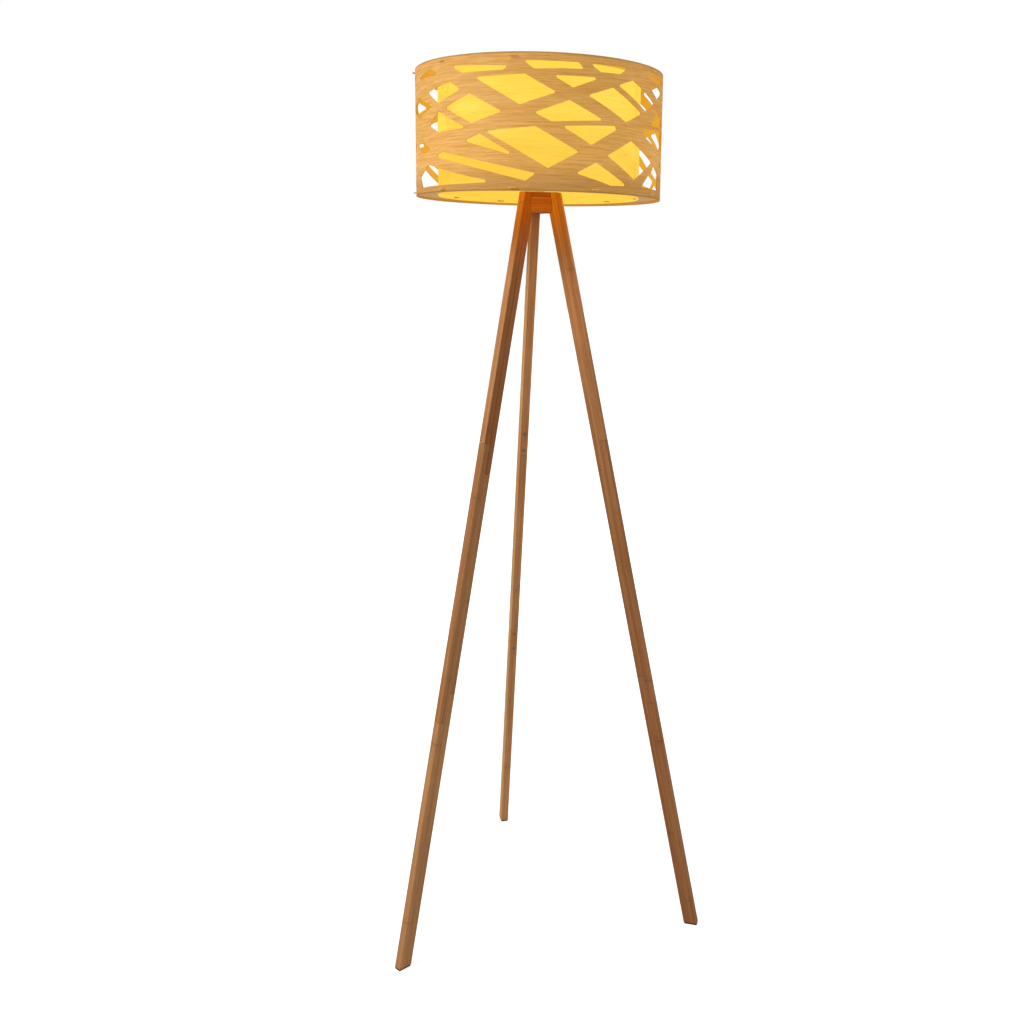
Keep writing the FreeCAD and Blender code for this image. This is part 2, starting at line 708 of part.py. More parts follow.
def spacer_ring(level):
    """Flat ring that keeps the drums apart; its tabs poke out through slits in both."""
    z_span = (level - ring_thickness / 2, level + ring_thickness / 2)
    body = ring(outer_drum_radius - outer_drum_wall - slit_slack, inner_drum_radius + slit_slack, *z_span)
    tab = box(inner_drum_radius - inner_drum_wall - tab_reach, outer_drum_radius + tab_reach,
              -tab_width / 2, tab_width / 2, *z_span)
    return body.fuse([turned(tab, angle) for angle in tab_angles]).removeSplitter()


def seam_strip(radius, angle, z_from, z_to):
    strip = ring(radius, radius - seam_strip_thickness, z_from, z_to)
    slab = box(radius - 5.0, radius + 5.0, -seam_strip_width / 2, seam_strip_width / 2, z_from, z_to)
    return turned(strip.common(slab), shade_turn + angle)


def seam_strips():
    z_from = ring_levels[0] + ring_thickness / 2 + strip_gap
    z_to = drum_top_z - hoop_drop - 2 * hoop_wire_radius - strip_gap
    outer_bore = outer_drum_radius - outer_drum_wall
    inner_bore = inner_drum_radius - inner_drum_wall
    strips = [seam_strip(outer_bore, angle, z_from, z_to) for angle in (0.0, 180.0)]
    return strips + [seam_strip(inner_bore, angle, z_from, z_to) for angle in inner_seam_angles]


def shade_carrier(crown_top):
    hoop_radius = inner_drum_radius - inner_drum_wall - hoop_wire_radius - hole_slack
    hoop_z = drum_top_z - hoop_drop - hoop_wire_radius
    hoop = Part.makeTorus(hoop_radius, hoop_wire_radius, Vector(0, 0, hoop_z))
    plate_from = crown_top + running_gap
    plate_to = plate_from + carrier_plate_thickness
    plate = ring(carrier_plate_radius, stud_radius + shaft_clearance, plate_from, plate_to)
    start = Vector(carrier_plate_radius - arm_overlap, 0, plate_to + hoop_wire_radius / 2)
    arm = rod(start, Vector(hoop_radius, 0, hoop_z), hoop_wire_radius)
    arms = [turned(arm, shade_turn + arm_turn + a) for a in EVERY_THIRD]
    return hoop.fuse([plate] + arms).removeSplitter(), plate_to


def make_finial(plate_top):
    base = plate_top + running_gap
    insert_top = base + finial_insert_height
    insert = ring(finial_insert_radius, stud_radius + shaft_clearance, base, insert_top)
    well_radius = finial_insert_radius + shaft_clearance
    well_top = insert_top + 6.0
    top = base + finial_height
    seat = base + 0.2
    outline = [(finial_foot_radius, 0.0), (finial_foot_radius, 2.5), (finial_waist_radius, 4.5),
               (finial_waist_radius + 0.9, 7.5), (finial_radius, 12.5), (finial_radius, 17.0),
               (finial_foot_radius - 0.8, 22.0), (finial_tip_radius, top - seat)]
    knob = revolved([(well_radius, seat)] + [(r, seat + rise) for r, rise in outline]
                    + [(0, top), (0, well_top), (well_radius, well_top)])
    return {"finial_insert": insert, "finial_knob": knob}


def save(nodes):
    os.makedirs("parts", exist_ok=True)
    for name, shape in nodes.items():
        solids = shape if isinstance(shape, list) else [shape]
        body = solids[0] if len(solids) == 1 else Part.makeCompound(solids)
        body.exportStep("parts/%s.step" % name)
        print(name, len(body.Solids), "solids, valid", body.isValid(), "volume", round(body.Volume))


def main():
    nodes = make_legs()
    nodes["foot_pads"] = foot_pads()
    nodes.update(make_hub())
    nodes["harp_saddle"] = harp_saddle()
    nodes["harp"], crown_top = harp()
    nodes["harp_sleeve_right"], nodes["harp_sleeve_left"] = both_sides(harp_sleeve())
    holder, contact_top_z = make_lamp_holder()
    nodes.update(holder)
    nodes.update(make_bulb(contact_top_z))
    nodes["outer_drum"] = outer_drum()
    nodes["inner_drum"] = inner_drum()
    nodes["drum_ring_bottom"] = spacer_ring(ring_levels[0])
    nodes["drum_ring_top"] = spacer_ring(ring_levels[1])
    nodes["drum_seam_strips"] = seam_strips()
    nodes["shade_carrier"], plate_top = shade_carrier(crown_top)
    nodes.update(make_finial(plate_top))
    save(nodes)


main()
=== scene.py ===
"""Looks of the tripod floor lamp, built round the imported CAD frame. Metres, +Z up."""
import math

import bpy
from mathutils import Matrix, Vector


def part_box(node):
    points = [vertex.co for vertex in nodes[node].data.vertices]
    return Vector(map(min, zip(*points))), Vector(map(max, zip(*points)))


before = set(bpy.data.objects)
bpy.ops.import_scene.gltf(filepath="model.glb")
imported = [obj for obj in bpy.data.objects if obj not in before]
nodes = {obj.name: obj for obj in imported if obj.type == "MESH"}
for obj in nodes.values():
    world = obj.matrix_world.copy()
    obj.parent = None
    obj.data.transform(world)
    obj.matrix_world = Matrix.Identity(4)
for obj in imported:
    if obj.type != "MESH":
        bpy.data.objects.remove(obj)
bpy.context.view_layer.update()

# ---- Measures of the lamp ---------------------------------------------------

# A leg's own axes: x outward, y across, z up the leg.
LEG_TILT = math.radians(12.0)
LEG_TOP_Z = 1.434
FOOT_RADIUS = 0.333
LEG_TOP_RADIUS = FOOT_RADIUS - LEG_TOP_Z * math.tan(LEG_TILT)
LEG_DIRECTIONS = {"front_left": -150.0, "front_right": -30.0, "rear": 90.0}
LEG_OUTER_FACE = 0.013
LEG_SIDE_FACE = 0.008

DRUM_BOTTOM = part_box("outer_drum")[0].z
DRUM_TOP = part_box("outer_drum")[1].z
DRUM_MIDDLE = 0.5 * (DRUM_BOTTOM + DRUM_TOP)
OUTER_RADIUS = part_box("outer_drum")[1].x
INNER_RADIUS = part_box("inner_drum")[1].x
GRAIN_RADIUS = 0.2                # both drums' grain is drawn at this radius
SHADE_SEAM = 167.0                # direction of the seam where the veneers' grain is cut
INNER_SEAMS = (-150.0, -21.0)     # the inner drum's overlaps, from the side opposite the seam
SEAM_HALF_WIDTH = 0.026           # radians
SEAM_STITCHES = 0.0275            # radians from an overlap's middle
PLY = 0.0005

TUBE_PITCH = 0.001
BULB_PITCH = 0.003629


# ---- Tools for materials ----------------------------------------------------

def srgb(red, green, blue):
    """Linear colour from 0-255 display values."""
    linear = []
    for value in (red, green, blue):
        share = value / 255.0
        linear.append(share / 12.92 if share <= 0.04045 else ((share + 0.055) / 1.055) ** 2.4)
    return (*linear, 1.0)


BLACK = (0.0, 0.0, 0.0, 1.0)
WHITE = (1.0, 1.0, 1.0, 1.0)


class Look:
    """A node material under construction."""

    def __init__(self, name):
        self.material = bpy.data.materials.new(name)
        self.material.use_nodes = True
        self.tree = self.material.node_tree
        self.shader = self.tree.nodes["Principled BSDF"]
        self.rounded = None

    def node(self, kind, **settings):
        made = self.tree.nodes.new("ShaderNode" + kind)
        for key, value in settings.items():
            setattr(made, key, value)
        return made

    def feed(self, socket, value):
        if isinstance(value, bpy.types.NodeSocket):
            self.tree.links.new(value, socket)
        else:
            socket.default_value = value

    def set(self, **values):
        """Shader inputs by name, with _ for each space."""
        for key, value in values.items():
            self.feed(self.shader.inputs[key.replace("_", " ")], value)

    def math(self, operation, first, second=0.0):
        made = self.node("Math", operation=operation)
        for socket, value in zip(made.inputs, (first, second)):
            self.feed(socket, value)
        return made.outputs[0]

    def times(self, first, second):
        return self.math("MULTIPLY", first, second)

    def vector(self, operation, first, second=(0.0, 0.0, 0.0)):
        made = self.node("VectorMath", operation=operation)
        self.feed(made.inputs[0], first)
        self.feed(made.inputs[1], second)
        return made.outputs["Value" if operation in ("DOT_PRODUCT", "LENGTH") else "Vector"]

    def split(self, vector):
        made = self.node("SeparateXYZ")
        self.feed(made.inputs[0], vector)
        return made.outputs

    def join(self, x, y, z):
        made = self.node("CombineXYZ")
        for socket, value in zip(made.inputs, (x, y, z)):
            self.feed(socket, value)
        return made.outputs[0]

    def mapped(self, vector, location=(0, 0, 0), rotation=(0, 0, 0)):
        """The vector in axes that stand at location, turned by rotation."""
        made = self.node("Mapping", vector_type="TEXTURE")
        self.feed(made.inputs["Vector"], vector)
        made.inputs["Location"].default_value = location
        made.inputs["Rotation"].default_value = rotation
        return made.outputs[0]

    def texture(self, kind, vector, stretch, shift, **settings):
        """A texture node; stretch is the number of features per metre along x, y and z."""
        made = self.node("Tex" + kind, **settings)
        scaled = self.vector("MULTIPLY", self.vector("ADD", vector, shift), stretch)
        self.feed(made.inputs["Vector"], scaled)
        made.inputs["Scale"].default_value = 1.0
        return made

    def noise(self, vector, stretch, shift=(0, 0, 0), detail=3.0, roughness=0.55):
        made = self.texture("Noise", vector, stretch, shift)
        made.inputs["Detail"].default_value = detail
        made.inputs["Roughness"].default_value = roughness
        return made.outputs["Fac"]

    def cells(self, vector, stretch, shift):
        """Distance from a cell's middle, and the cell's own number from 0 to 1."""
        made = self.texture("Voronoi", vector, stretch, shift, feature="F1")
        return made.outputs["Distance"], self.split(made.outputs["Color"])[0]

    def ranged(self, value, low, high, to_low=0.0, to_high=1.0, smooth=True):
        """to_low where value is low, to_high where it is high, and a blend between."""
        made = self.node("MapRange", interpolation_type="SMOOTHSTEP" if smooth else "LINEAR")
        for socket, given in zip(made.inputs, (value, low, high, to_low, to_high)):
            self.feed(socket, given)
        return made.outputs[0]

    def ramp(self, value, stops):
        made = self.node("ValToRGB")
        self.feed(made.inputs[0], value)
        points = made.color_ramp.elements
        while len(points) < len(stops):
            points.new(0.5)
        for point, (position, colour) in zip(points, stops):
            point.position = position
            point.color = colour
        return made.outputs[0]

    def mix(self, share, first, second, blend="MIX"):
        made = self.node("Mix", data_type="RGBA", blend_type=blend)
        for index, value in ((0, share), (6, first), (7, second)):
            self.feed(made.inputs[index], value)
        return made.outputs[2]

    def tinted(self, colour, tint):
        return self.mix(1.0, colour, tint, "MULTIPLY")

    def bump(self, height, distance, strength):
        made = self.node("Bump")
        made.inputs["Strength"].default_value = strength
        made.inputs["Distance"].default_value = distance
        self.feed(made.inputs["Height"], height)
        if self.rounded:
            self.feed(made.inputs["Normal"], self.rounded)
        self.feed(self.shader.inputs["Normal"], made.outputs[0])

    def place(self):
        return self.node("TexCoord").outputs["Object"]

    def surface_normal(self):
        return self.node("TexCoord").outputs["Normal"]

    def edge_wear(self, radius):
        """1 on sharp edges, 0 on open surfaces. The same bevel softens the edges in the bump."""
        bevel = self.node("Bevel", samples=4)
        bevel.inputs["Radius"].default_value = radius
        self.rounded = bevel.outputs[0]
        flat = self.node("NewGeometry").outputs["Normal"]
        facing = self.vector("DOT_PRODUCT", bevel.outputs[0], flat)
        return self.ranged(facing, 0.98, 0.75)

    def shade_in_corners(self, distance):
        """1 in corners and narrow gaps, where shade falls, 0 on open surfaces; it masks painted shade."""
        made = self.node("AmbientOcclusion", samples=6)
        made.inputs["Distance"].default_value = distance
        return self.ranged(made.outputs["AO"], 0.9, 0.35)


def paint(look, *names):
    for name in names:
        slots = nodes[name].data.materials
        if len(slots) == 0:
            slots.append(look.material)
        for index in range(len(slots)):
            slots[index] = look.material


# ---- Bamboo legs and hub ----------------------------------------------------

RING_SPACING = 0.34               # between a cane's growth rings
LAYER_OFFSET = 0.43               # the two layers' rings don't meet

# Heights between which the lamp's light on the legs grows, first in strength, then in colour.
GAIN_FROM_Z, GAIN_TO_Z = 1.06, 1.30
WARM_FROM_Z, WARM_TO_Z = 1.28, 1.415


def bamboo_stain(look, spot, across, shift, seed):
    """(colour, grain, ring lines, streaks) of stained bamboo made of two glued layers."""
    fibre = look.noise(spot, (1500, 1500, 16), shift, roughness=0.7)
    streak = look.noise(spot, (420, 420, 4.5), shift)
    strip = look.noise(spot, (150, 150, 1.6), shift, detail=1.0)
    cloud = look.noise(spot, (18, 18, 6.0), shift)
    grain = look.math("ADD", look.times(fibre, 0.4), look.times(streak, 0.3))
    grain = look.math("ADD", grain, look.times(strip, 0.3))

    height = look.math("ADD", across[2], look.times(streak, 0.008))
    outer_layer = look.math("GREATER_THAN", across[0], 0.0)
    ring = look.math("ADD", look.math("DIVIDE", height, RING_SPACING),
                     look.times(outer_layer, LAYER_OFFSET))
    ring = look.math("FRACT", look.math("ADD", ring, 10.0 + 0.37 * seed))
    off_ring = look.math("ABSOLUTE", look.math("SUBTRACT", ring, 0.5))
    ring_line = look.times(look.ranged(off_ring, 0.0, 0.009, 1.0, 0.0), look.ranged(cloud, 0.4, 0.62))
    ring_halo = look.ranged(off_ring, 0.0, 0.05, 1.0, 0.0)
    glue_line = look.ranged(look.math("ABSOLUTE", across[0]), 0.0001, 0.0006, 1.0, 0.0)

    colour = look.ramp(grain, [(0.34, srgb(140, 86, 50)), (0.5, srgb(174, 117, 75)),
                               (0.66, srgb(200, 146, 102))])
    colour = look.mix(look.ranged(cloud, 0.5, 0.72, 0.0, 0.28), colour, srgb(148, 92, 54))
    colour = look.mix(look.ranged(cloud, 0.45, 0.28, 0.0, 0.22), colour, srgb(206, 158, 114))
    colour = look.mix(look.times(ring_halo, 0.10), colour, srgb(120, 70, 38))
    colour = look.mix(look.times(ring_line, 0.34), colour, srgb(84, 44, 22))
    colour = look.mix(look.times(glue_line, 0.35), colour, srgb(96, 54, 30))
    return colour, grain, ring_line, streak


def with_painted_face_light(look, colour, across, face_light_tints):
    """Painted light: face_light_tints is (axis, distance, tint of the brighter face at that distance along
    the axis, tint of the other faces).
    """
    axis, distance, bright_face_tint, other_faces_tint = face_light_tints
    bright_face_mask = look.ranged(across[axis], distance - 0.0012, distance - 0.0002)
    return look.tinted(colour, look.mix(bright_face_mask, (*other_faces_tint, 1.0), (*bright_face_tint, 1.0)))


def under_the_shade(look, colour, gain, tint):
    """Wood that the lamp's own light brightens and warms towards the hub."""
    height = look.split(look.place())[2]
    lift = look.ranged(height, GAIN_FROM_Z, GAIN_TO_Z, 1.0, gain)
    colour = look.tinted(colour, look.join(lift, lift, lift))
    warm = look.ranged(height, WARM_FROM_Z, WARM_TO_Z)
    return look.mix(warm, colour, look.tinted(colour, (*tint, 1.0)))


def bamboo(name, place, seed, tone, lamp_light=None, face_light_tints=None):
    """Bamboo whose fibres run along z of place; lamp_light is the gain and tint under the shade."""
    look = Look(name)
    spot = place(look)
    across = look.split(spot)
    shift = (seed * 1.7, seed * 2.3, seed * 0.9)
    colour, grain, ring_line, streak = bamboo_stain(look, spot, across, shift, seed)
    wear = look.times(look.edge_wear(0.0014), look.ranged(streak, 0.3, 0.7, 0.15, 0.5))
    colour = look.mix(wear, colour, srgb(214, 162, 116))
    # Painted shade: darker in the corners and gaps between parts.
    colour = look.mix(look.times(look.shade_in_corners(0.005), 0.6), colour, srgb(92, 50, 26))
    colour = look.tinted(colour, (*tone, 1.0))
    # Painted light: one face tinted lighter than the others.
    if face_light_tints:
        colour = with_painted_face_light(look, colour, across, face_light_tints)
    if lamp_light:
        colour = under_the_shade(look, colour, *lamp_light)
    look.set(Base_Color=colour, Coat_Weight=0.04, Coat_Roughness=0.4, Specular_IOR_Level=0.25,
             Roughness=look.ranged(grain, 0.35, 0.65, 0.68, 0.5, smooth=False))
    look.bump(look.math("SUBTRACT", grain, look.times(ring_line, 0.5)), 0.0004, 0.45)
    return look


def along_leg(direction):
    turn = math.radians(direction)
    top = (LEG_TOP_RADIUS * math.cos(turn), LEG_TOP_RADIUS * math.sin(turn), LEG_TOP_Z)
    return lambda look: look.mapped(look.place(), top, (0.0, -LEG_TILT, turn))


def across_hub(look):
    """Level grain; the axes start 0.2 below the floor to keep the glue line off the hub."""
    return look.mapped(look.place(), (0.0, 0.0, -0.2), (0.0, math.radians(90.0), 0.0))


# Tints of each leg section. They hold painted light and shade: the front right leg darker towards the
# floor, the rear leg lighter all over.
SECTION_TONES = {
    "front_left": {"top": (1.04, 1.05, 0.88), "middle": (1.0, 1.0, 0.84), "bottom": (1.06, 1.07, 0.91)},
    "front_right": {"top": (1.08, 1.05, 0.86), "middle": (0.92, 0.85, 0.66), "bottom": (0.86, 0.77, 0.56)},
    "rear": {"top": (1.26, 1.27, 1.08), "middle": (1.20, 1.21, 1.03), "bottom": (1.22, 1.23, 1.05)},
}
# Painted light and shade: the front left leg's outer face and the rear leg's side face are tinted lighter
# than their other faces, and the front left top's other faces darker.
REAR_SIDE_LIGHT = (1, LEG_SIDE_FACE, (1.20, 1.42, 1.45), (1.0, 1.0, 1.0))
PAINTED_FACE_LIGHT = {
    "leg_front_left_top": (0, LEG_OUTER_FACE, (1.18, 1.18, 1.18), (0.77, 0.65, 0.46)),
    "leg_front_left_middle": (0, LEG_OUTER_FACE, (1.10, 1.07, 1.04), (0.94, 0.94, 0.93)),
    "leg_front_left_bottom": (0, LEG_OUTER_FACE, (1.20, 1.29, 1.33), (1.04, 1.12, 1.16)),
    "leg_rear_top": REAR_SIDE_LIGHT,
    "leg_rear_middle": REAR_SIDE_LIGHT,
    "leg_rear_bottom": REAR_SIDE_LIGHT,
}
LAMP_LIGHT = {
    "leg_front_left_top": (1.0, (1.62, 1.08, 0.045)),
    "leg_front_right_top": (1.40, (1.18, 0.87, 0.035)),
}
BLOCK_SEED, PLATE_SEED = 14, 17


def paint_legs_and_hub():
    seed = 0
    for leg, direction in LEG_DIRECTIONS.items():
        for part, tone in SECTION_TONES[leg].items():
            seed += 1
            name = "leg_%s_%s" % (leg, part)
            paint(bamboo("bamboo_" + name, along_leg(direction), seed, tone,
                         LAMP_LIGHT.get(name), PAINTED_FACE_LIGHT.get(name)), name)
    # Painted light: the block's strong orange tint stands for the lamp's light on it, and the plate's
    # darker tint is painted shade.
    paint(bamboo("bamboo_block", across_hub, BLOCK_SEED, (1.50, 0.88, 0.02)), "hub_block")
    paint(bamboo("bamboo_plate", across_hub, PLATE_SEED, (1.12, 0.56, 0.02)), "hub_plate")


# ---- Veneer drums, rings and other wood -------------------------------------

def round_the_drum(look):
    """A point's (place on the unrolled drum, angle, radius, height), from opposite the seam."""
    local = look.mapped(look.place(), rotation=(0, 0, math.radians(SHADE_SEAM + 180.0)))
    x, y, z = look.split(local)
    angle = look.math("ARCTAN2", y, x)
    radius = look.vector("LENGTH", look.join(x, y, 0.0))
    return look.join(look.times(angle, GRAIN_RADIUS), radius, z), angle, radius, z


def facing_out(look):
    """How far the surface faces away from the shade's axis: 1 outside, -1 inside, 0 on a cut edge."""
    outward = look.vector("MULTIPLY", look.place(), (1.0, 1.0, 0.0))
    return look.vector("DOT_PRODUCT", look.vector("NORMALIZE", outward), look.surface_normal())


def veneer_grain(look, spot, seed):
    """Fine figure, flowing figure and broad clouds of a knife-cut veneer, and its bent level grain."""
    shift = (seed, 0.0, seed * 0.6)
    flow = look.noise(spot, (4, 1, 9), shift, detail=2.0)
    bent = look.vector("ADD", spot, look.join(0.0, 0.0, look.times(flow, 0.012)))
    fine = look.noise(bent, (60, 1, 1400), shift, detail=2.0, roughness=0.6)
    figure = look.noise(bent, (16, 1, 420), shift, detail=4.0, roughness=0.65)
    cloud = look.noise(bent, (6, 1, 60), shift)
    return fine, figure, cloud, bent


def knots(look, bent, seed, chance):
    distance, luck = look.cells(bent, (12.0, 1.0, 30.0), (seed * 3.1, 0.0, seed * 1.3))
    return look.times(look.ranged(distance, 0.02, 0.14, 1.0, 0.0),
                      look.math("GREATER_THAN", luck, 1.0 - chance))


def between_drums(look, height):
    """1 at heights between the two spacer rings, where the inner drum shines on everything."""
    slack = 0.0005
    low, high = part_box("drum_ring_bottom")[1].z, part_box("drum_ring_top")[0].z
    above = look.math("GREATER_THAN", height, low - slack)
    return look.times(above, look.math("LESS_THAN", height, high + slack))


def outer_skin(look, grain, cloud, bent, height):
    """The drum's outside: darker near the lower rim, with a dark line along both rims."""
    skin = look.ramp(grain, [(0.34, srgb(184, 134, 74)), (0.5, srgb(204, 156, 92)),
                             (0.66, srgb(222, 178, 118))])
    skin = look.mix(look.ranged(cloud, 0.5, 0.74, 0.0, 0.42), skin, srgb(182, 130, 74))
    skin = look.mix(look.ranged(cloud, 0.46, 0.28, 0.0, 0.30), skin, srgb(224, 184, 132))
    low = look.ranged(height, DRUM_BOTTOM + 0.008, DRUM_BOTTOM + 0.05, 0.45, 0.0)
    skin = look.mix(low, skin, srgb(166, 116, 70))
    skin = look.mix(look.times(knots(look, bent, 5.0, 0.12), 0.35), skin, srgb(150, 94, 46))
    from_rim = look.math("MINIMUM", look.math("SUBTRACT", height, DRUM_BOTTOM),
                         look.math("SUBTRACT", DRUM_TOP, height))
    return look.mix(look.ranged(from_rim, 0.0012, 0.0034, 0.75, 0.0), skin, srgb(124, 90, 52))


def outer_veneer():
    """Opaque veneer that lets a little of the lamp's light through, stronger low down."""
    look = Look("veneer_outer")
    spot, _, radius, height = round_the_drum(look)
    fine, figure, cloud, bent = veneer_grain(look, spot, 2.0)
    grain = look.math("ADD", look.times(figure, 0.62), look.times(fine, 0.38))
    face = facing_out(look)
    inside = look.ranged(face, -0.4, -0.6)
    edge = look.ranged(look.math("ABSOLUTE", face), 0.6, 0.4)
    inner_skin = look.ramp(grain, [(0.3, srgb(196, 150, 84)), (0.7, srgb(224, 184, 112))])
    ply = look.math("FRACT", look.math("DIVIDE", radius, PLY))
    cut = look.ramp(ply, [(0.0, srgb(170, 116, 62)), (0.5, srgb(216, 162, 92)),
                          (0.9, srgb(140, 90, 46))])
    colour = look.mix(inside, outer_skin(look, grain, cloud, bent, height), inner_skin)
    colour = look.mix(edge, colour, cut)
    through = look.ramp(grain, [(0.34, srgb(134, 88, 16)), (0.66, srgb(160, 114, 36))])
    at_rim = look.ranged(height, DRUM_BOTTOM + 0.01, DRUM_BOTTOM + 0.06, 0.45, 0.0)
    through = look.mix(at_rim, through, BLACK)
    lit_inside = look.mix(between_drums(look, height), srgb(112, 78, 12), srgb(116, 108, 36))
    glow = look.ranged(height, DRUM_BOTTOM, DRUM_TOP, 1.18, 0.84, smooth=False)
    look.set(Base_Color=colour, Emission_Color=look.mix(inside, through, lit_inside),
             Emission_Strength=glow, Specular_IOR_Level=0.25,
             Roughness=look.ranged(grain, 0.3, 0.7, 0.72, 0.56, smooth=False))
    look.bump(grain, 0.0003, 0.35)
    return look


def with_seams(look, colour, spot, angle):
    """The inner drum's overlaps: a faint darker band with stitch marks along its edge."""
    dashes = look.ranged(look.noise(spot, (1, 1, 130), detail=1.0), 0.5, 0.56)
    for seam in INNER_SEAMS:
        away = look.math("ABSOLUTE", look.math("SUBTRACT", angle, math.radians(seam)))
        band = look.ranged(away, SEAM_HALF_WIDTH - 0.002, SEAM_HALF_WIDTH + 0.002, 0.14, 0.0)
        colour = look.mix(band, colour, srgb(226, 150, 36))
        beside = look.math("ABSOLUTE", look.math("SUBTRACT", away, SEAM_STITCHES))
        dash = look.times(look.ranged(beside, 0.002, 0.004, 0.55, 0.0), dashes)
        colour = look.mix(dash, colour, srgb(150, 84, 20))
    return colour


def inner_veneer():
    """Pale veneer that glows evenly with the lamp's light."""
    look = Look("veneer_inner")
    spot, angle, _, height = round_the_drum(look)
    fine, figure, cloud, bent = veneer_grain(look, spot, 9.0)
    grain = look.math("ADD", look.times(figure, 0.6), look.times(fine, 0.4))
    rise = look.ranged(height, DRUM_BOTTOM, DRUM_TOP, smooth=False)
    glow = look.ramp(rise, [(0.0, srgb(249, 205, 66)), (0.3, srgb(250, 208, 74)),
                            (0.6, srgb(252, 216, 78)), (1.0, srgb(252, 222, 82))])
    glow = look.mix(look.ranged(grain, 0.5, 0.36, 0.0, 0.30), glow, srgb(238, 176, 44))
    glow = look.mix(look.ranged(cloud, 0.52, 0.75, 0.0, 0.30), glow, srgb(244, 190, 52))
    glow = look.mix(look.ranged(cloud, 0.42, 0.25, 0.0, 0.35), glow, srgb(255, 230, 112))
    glow = look.mix(look.times(knots(look, bent, 7.0, 0.25), 0.55), glow, srgb(216, 130, 24))
    glow = with_seams(look, glow, spot, angle)
    skin = look.ramp(grain, [(0.3, srgb(120, 92, 50)), (0.7, srgb(150, 120, 70))])
    look.set(Base_Color=skin, Emission_Color=glow, Emission_Strength=0.92, Roughness=0.6,
             Specular_IOR_Level=0.2)
    look.bump(grain, 0.0003, 0.3)
    return look


def ring_wood():
    """Thin plywood with painted light: the faces turned to the gap between the drums catch the inner
    drum's light, and the other faces glow dimmer.
    """
    look = Look("ring_wood")
    spot = look.place()
    x, y, height = look.split(spot)
    radius = look.vector("LENGTH", look.join(x, y, 0.0))
    grain = look.noise(spot, (14, 520, 200), detail=4.0, roughness=0.65)
    colour = look.ramp(grain, [(0.3, srgb(206, 152, 84)), (0.7, srgb(236, 190, 118))])
    upright = look.split(look.surface_normal())[2]
    ply = look.math("FRACT", look.math("DIVIDE", height, PLY))
    plies = look.ramp(ply, [(0.0, srgb(170, 116, 62)), (0.5, srgb(222, 170, 100))])
    cut = look.ranged(look.math("ABSOLUTE", upright), 0.6, 0.4)
    colour = look.mix(look.times(cut, 0.6), colour, plies)
    colour = look.mix(look.times(look.edge_wear(0.0006), 0.4), colour, srgb(240, 204, 140))
    to_middle = look.times(upright, look.math("SUBTRACT", height, DRUM_MIDDLE))
    in_gap = look.times(look.math("LESS_THAN", to_middle, 0.0),
                        look.math("LESS_THAN", radius, OUTER_RADIUS))
    # Painted light: the gap faces glow with the inner drum's light, the other faces glow dimmer, more on
    # the outer tabs and not at all inside the inner drum.
    lit = look.ramp(grain, [(0.3, srgb(104, 92, 26)), (0.7, srgb(130, 112, 38))])
    outer_tabs = look.math("GREATER_THAN", radius, OUTER_RADIUS - 0.003)
    dim_painted_glow = look.mix(outer_tabs, srgb(100, 76, 48), srgb(128, 98, 56))
    dim_painted_glow = look.mix(look.math("LESS_THAN", radius, INNER_RADIUS), dim_painted_glow, BLACK)
    look.set(Base_Color=colour, Emission_Color=look.mix(in_gap, dim_painted_glow, lit), Emission_Strength=1.0,
             Roughness=look.ranged(grain, 0.3, 0.7, 0.7, 0.5, smooth=False))
    look.bump(grain, 0.0002, 0.4)
    return look


def plain_wood(name, dark, light, stretch, glow=0.0):
    look = Look(name)
    grain = look.noise(look.place(), stretch, detail=4.0, roughness=0.65)
    colour = look.ramp(grain, [(0.3, dark), (0.7, light)])
    colour = look.mix(look.times(look.edge_wear(0.0008), 0.5), colour, light)
    look.set(Base_Color=colour, Roughness=look.ranged(grain, 0.3, 0.7, 0.7, 0.5, smooth=False))
    if glow:
        look.set(Emission_Color=colour, Emission_Strength=glow)
    look.bump(grain, 0.0003, 0.4)
    return look


# ---- Metal, plastic, rubber, glass ------------------------------------------

def metal(name, dark, light, roughness, stretch=(900, 900, 40), thread=0.0):
    """Brushed or rolled metal; thread is the pitch of a screw thread about the lamp's axis."""
    look = Look(name)
    spot = look.place()
    brushed = look.noise(spot, stretch, roughness=0.6)
    cloud = look.noise(spot, (60, 60, 60))
    wear = look.edge_wear(0.0006)
    tarnish = look.math("ADD", look.times(brushed, 0.5), look.times(cloud, 0.5))
    colour = look.ramp(tarnish, [(0.3, dark), (0.7, light)])
    colour = look.mix(look.times(wear, 0.6), colour, light)
    rough = look.ranged(cloud, 0.3, 0.7, roughness - 0.08, roughness + 0.1, smooth=False)
    look.set(Base_Color=colour, Metallic=1.0,
             Roughness=look.math("ADD", rough, look.times(wear, -0.08)))
    if thread:
        x, y, z = look.split(spot)
        turns = look.math("DIVIDE", look.math("ARCTAN2", y, x), 2 * math.pi)
        climb = look.math("SUBTRACT", look.math("DIVIDE", z, thread), turns)
        ridge = look.math("ABSOLUTE", look.math("SUBTRACT", look.math("FRACT", climb), 0.5))
        look.bump(look.ranged(ridge, 0.0, 0.5), 0.3 * thread, 0.8)
    else:
        look.bump(brushed, 0.00015, 0.3)
    return look


def moulded(name, dark, light, roughness, speckles):
    """Plastic, rubber, paint or board; speckles is the number of surface specks per metre."""
    look = Look(name)
    spot = look.place()
    speckle = look.noise(spot, (speckles,) * 3, detail=2.0)
    cloud = look.noise(spot, (70, 70, 70), detail=2.0)
    colour = look.ramp(cloud, [(0.35, dark), (0.7, light)])
    colour = look.mix(look.times(look.edge_wear(0.0007), 0.35), colour, light)
    look.set(Base_Color=colour,
             Roughness=look.ranged(speckle, 0.3, 0.7, roughness - 0.1, roughness + 0.12))
    look.bump(speckle, 0.0002, 0.35)
    return look


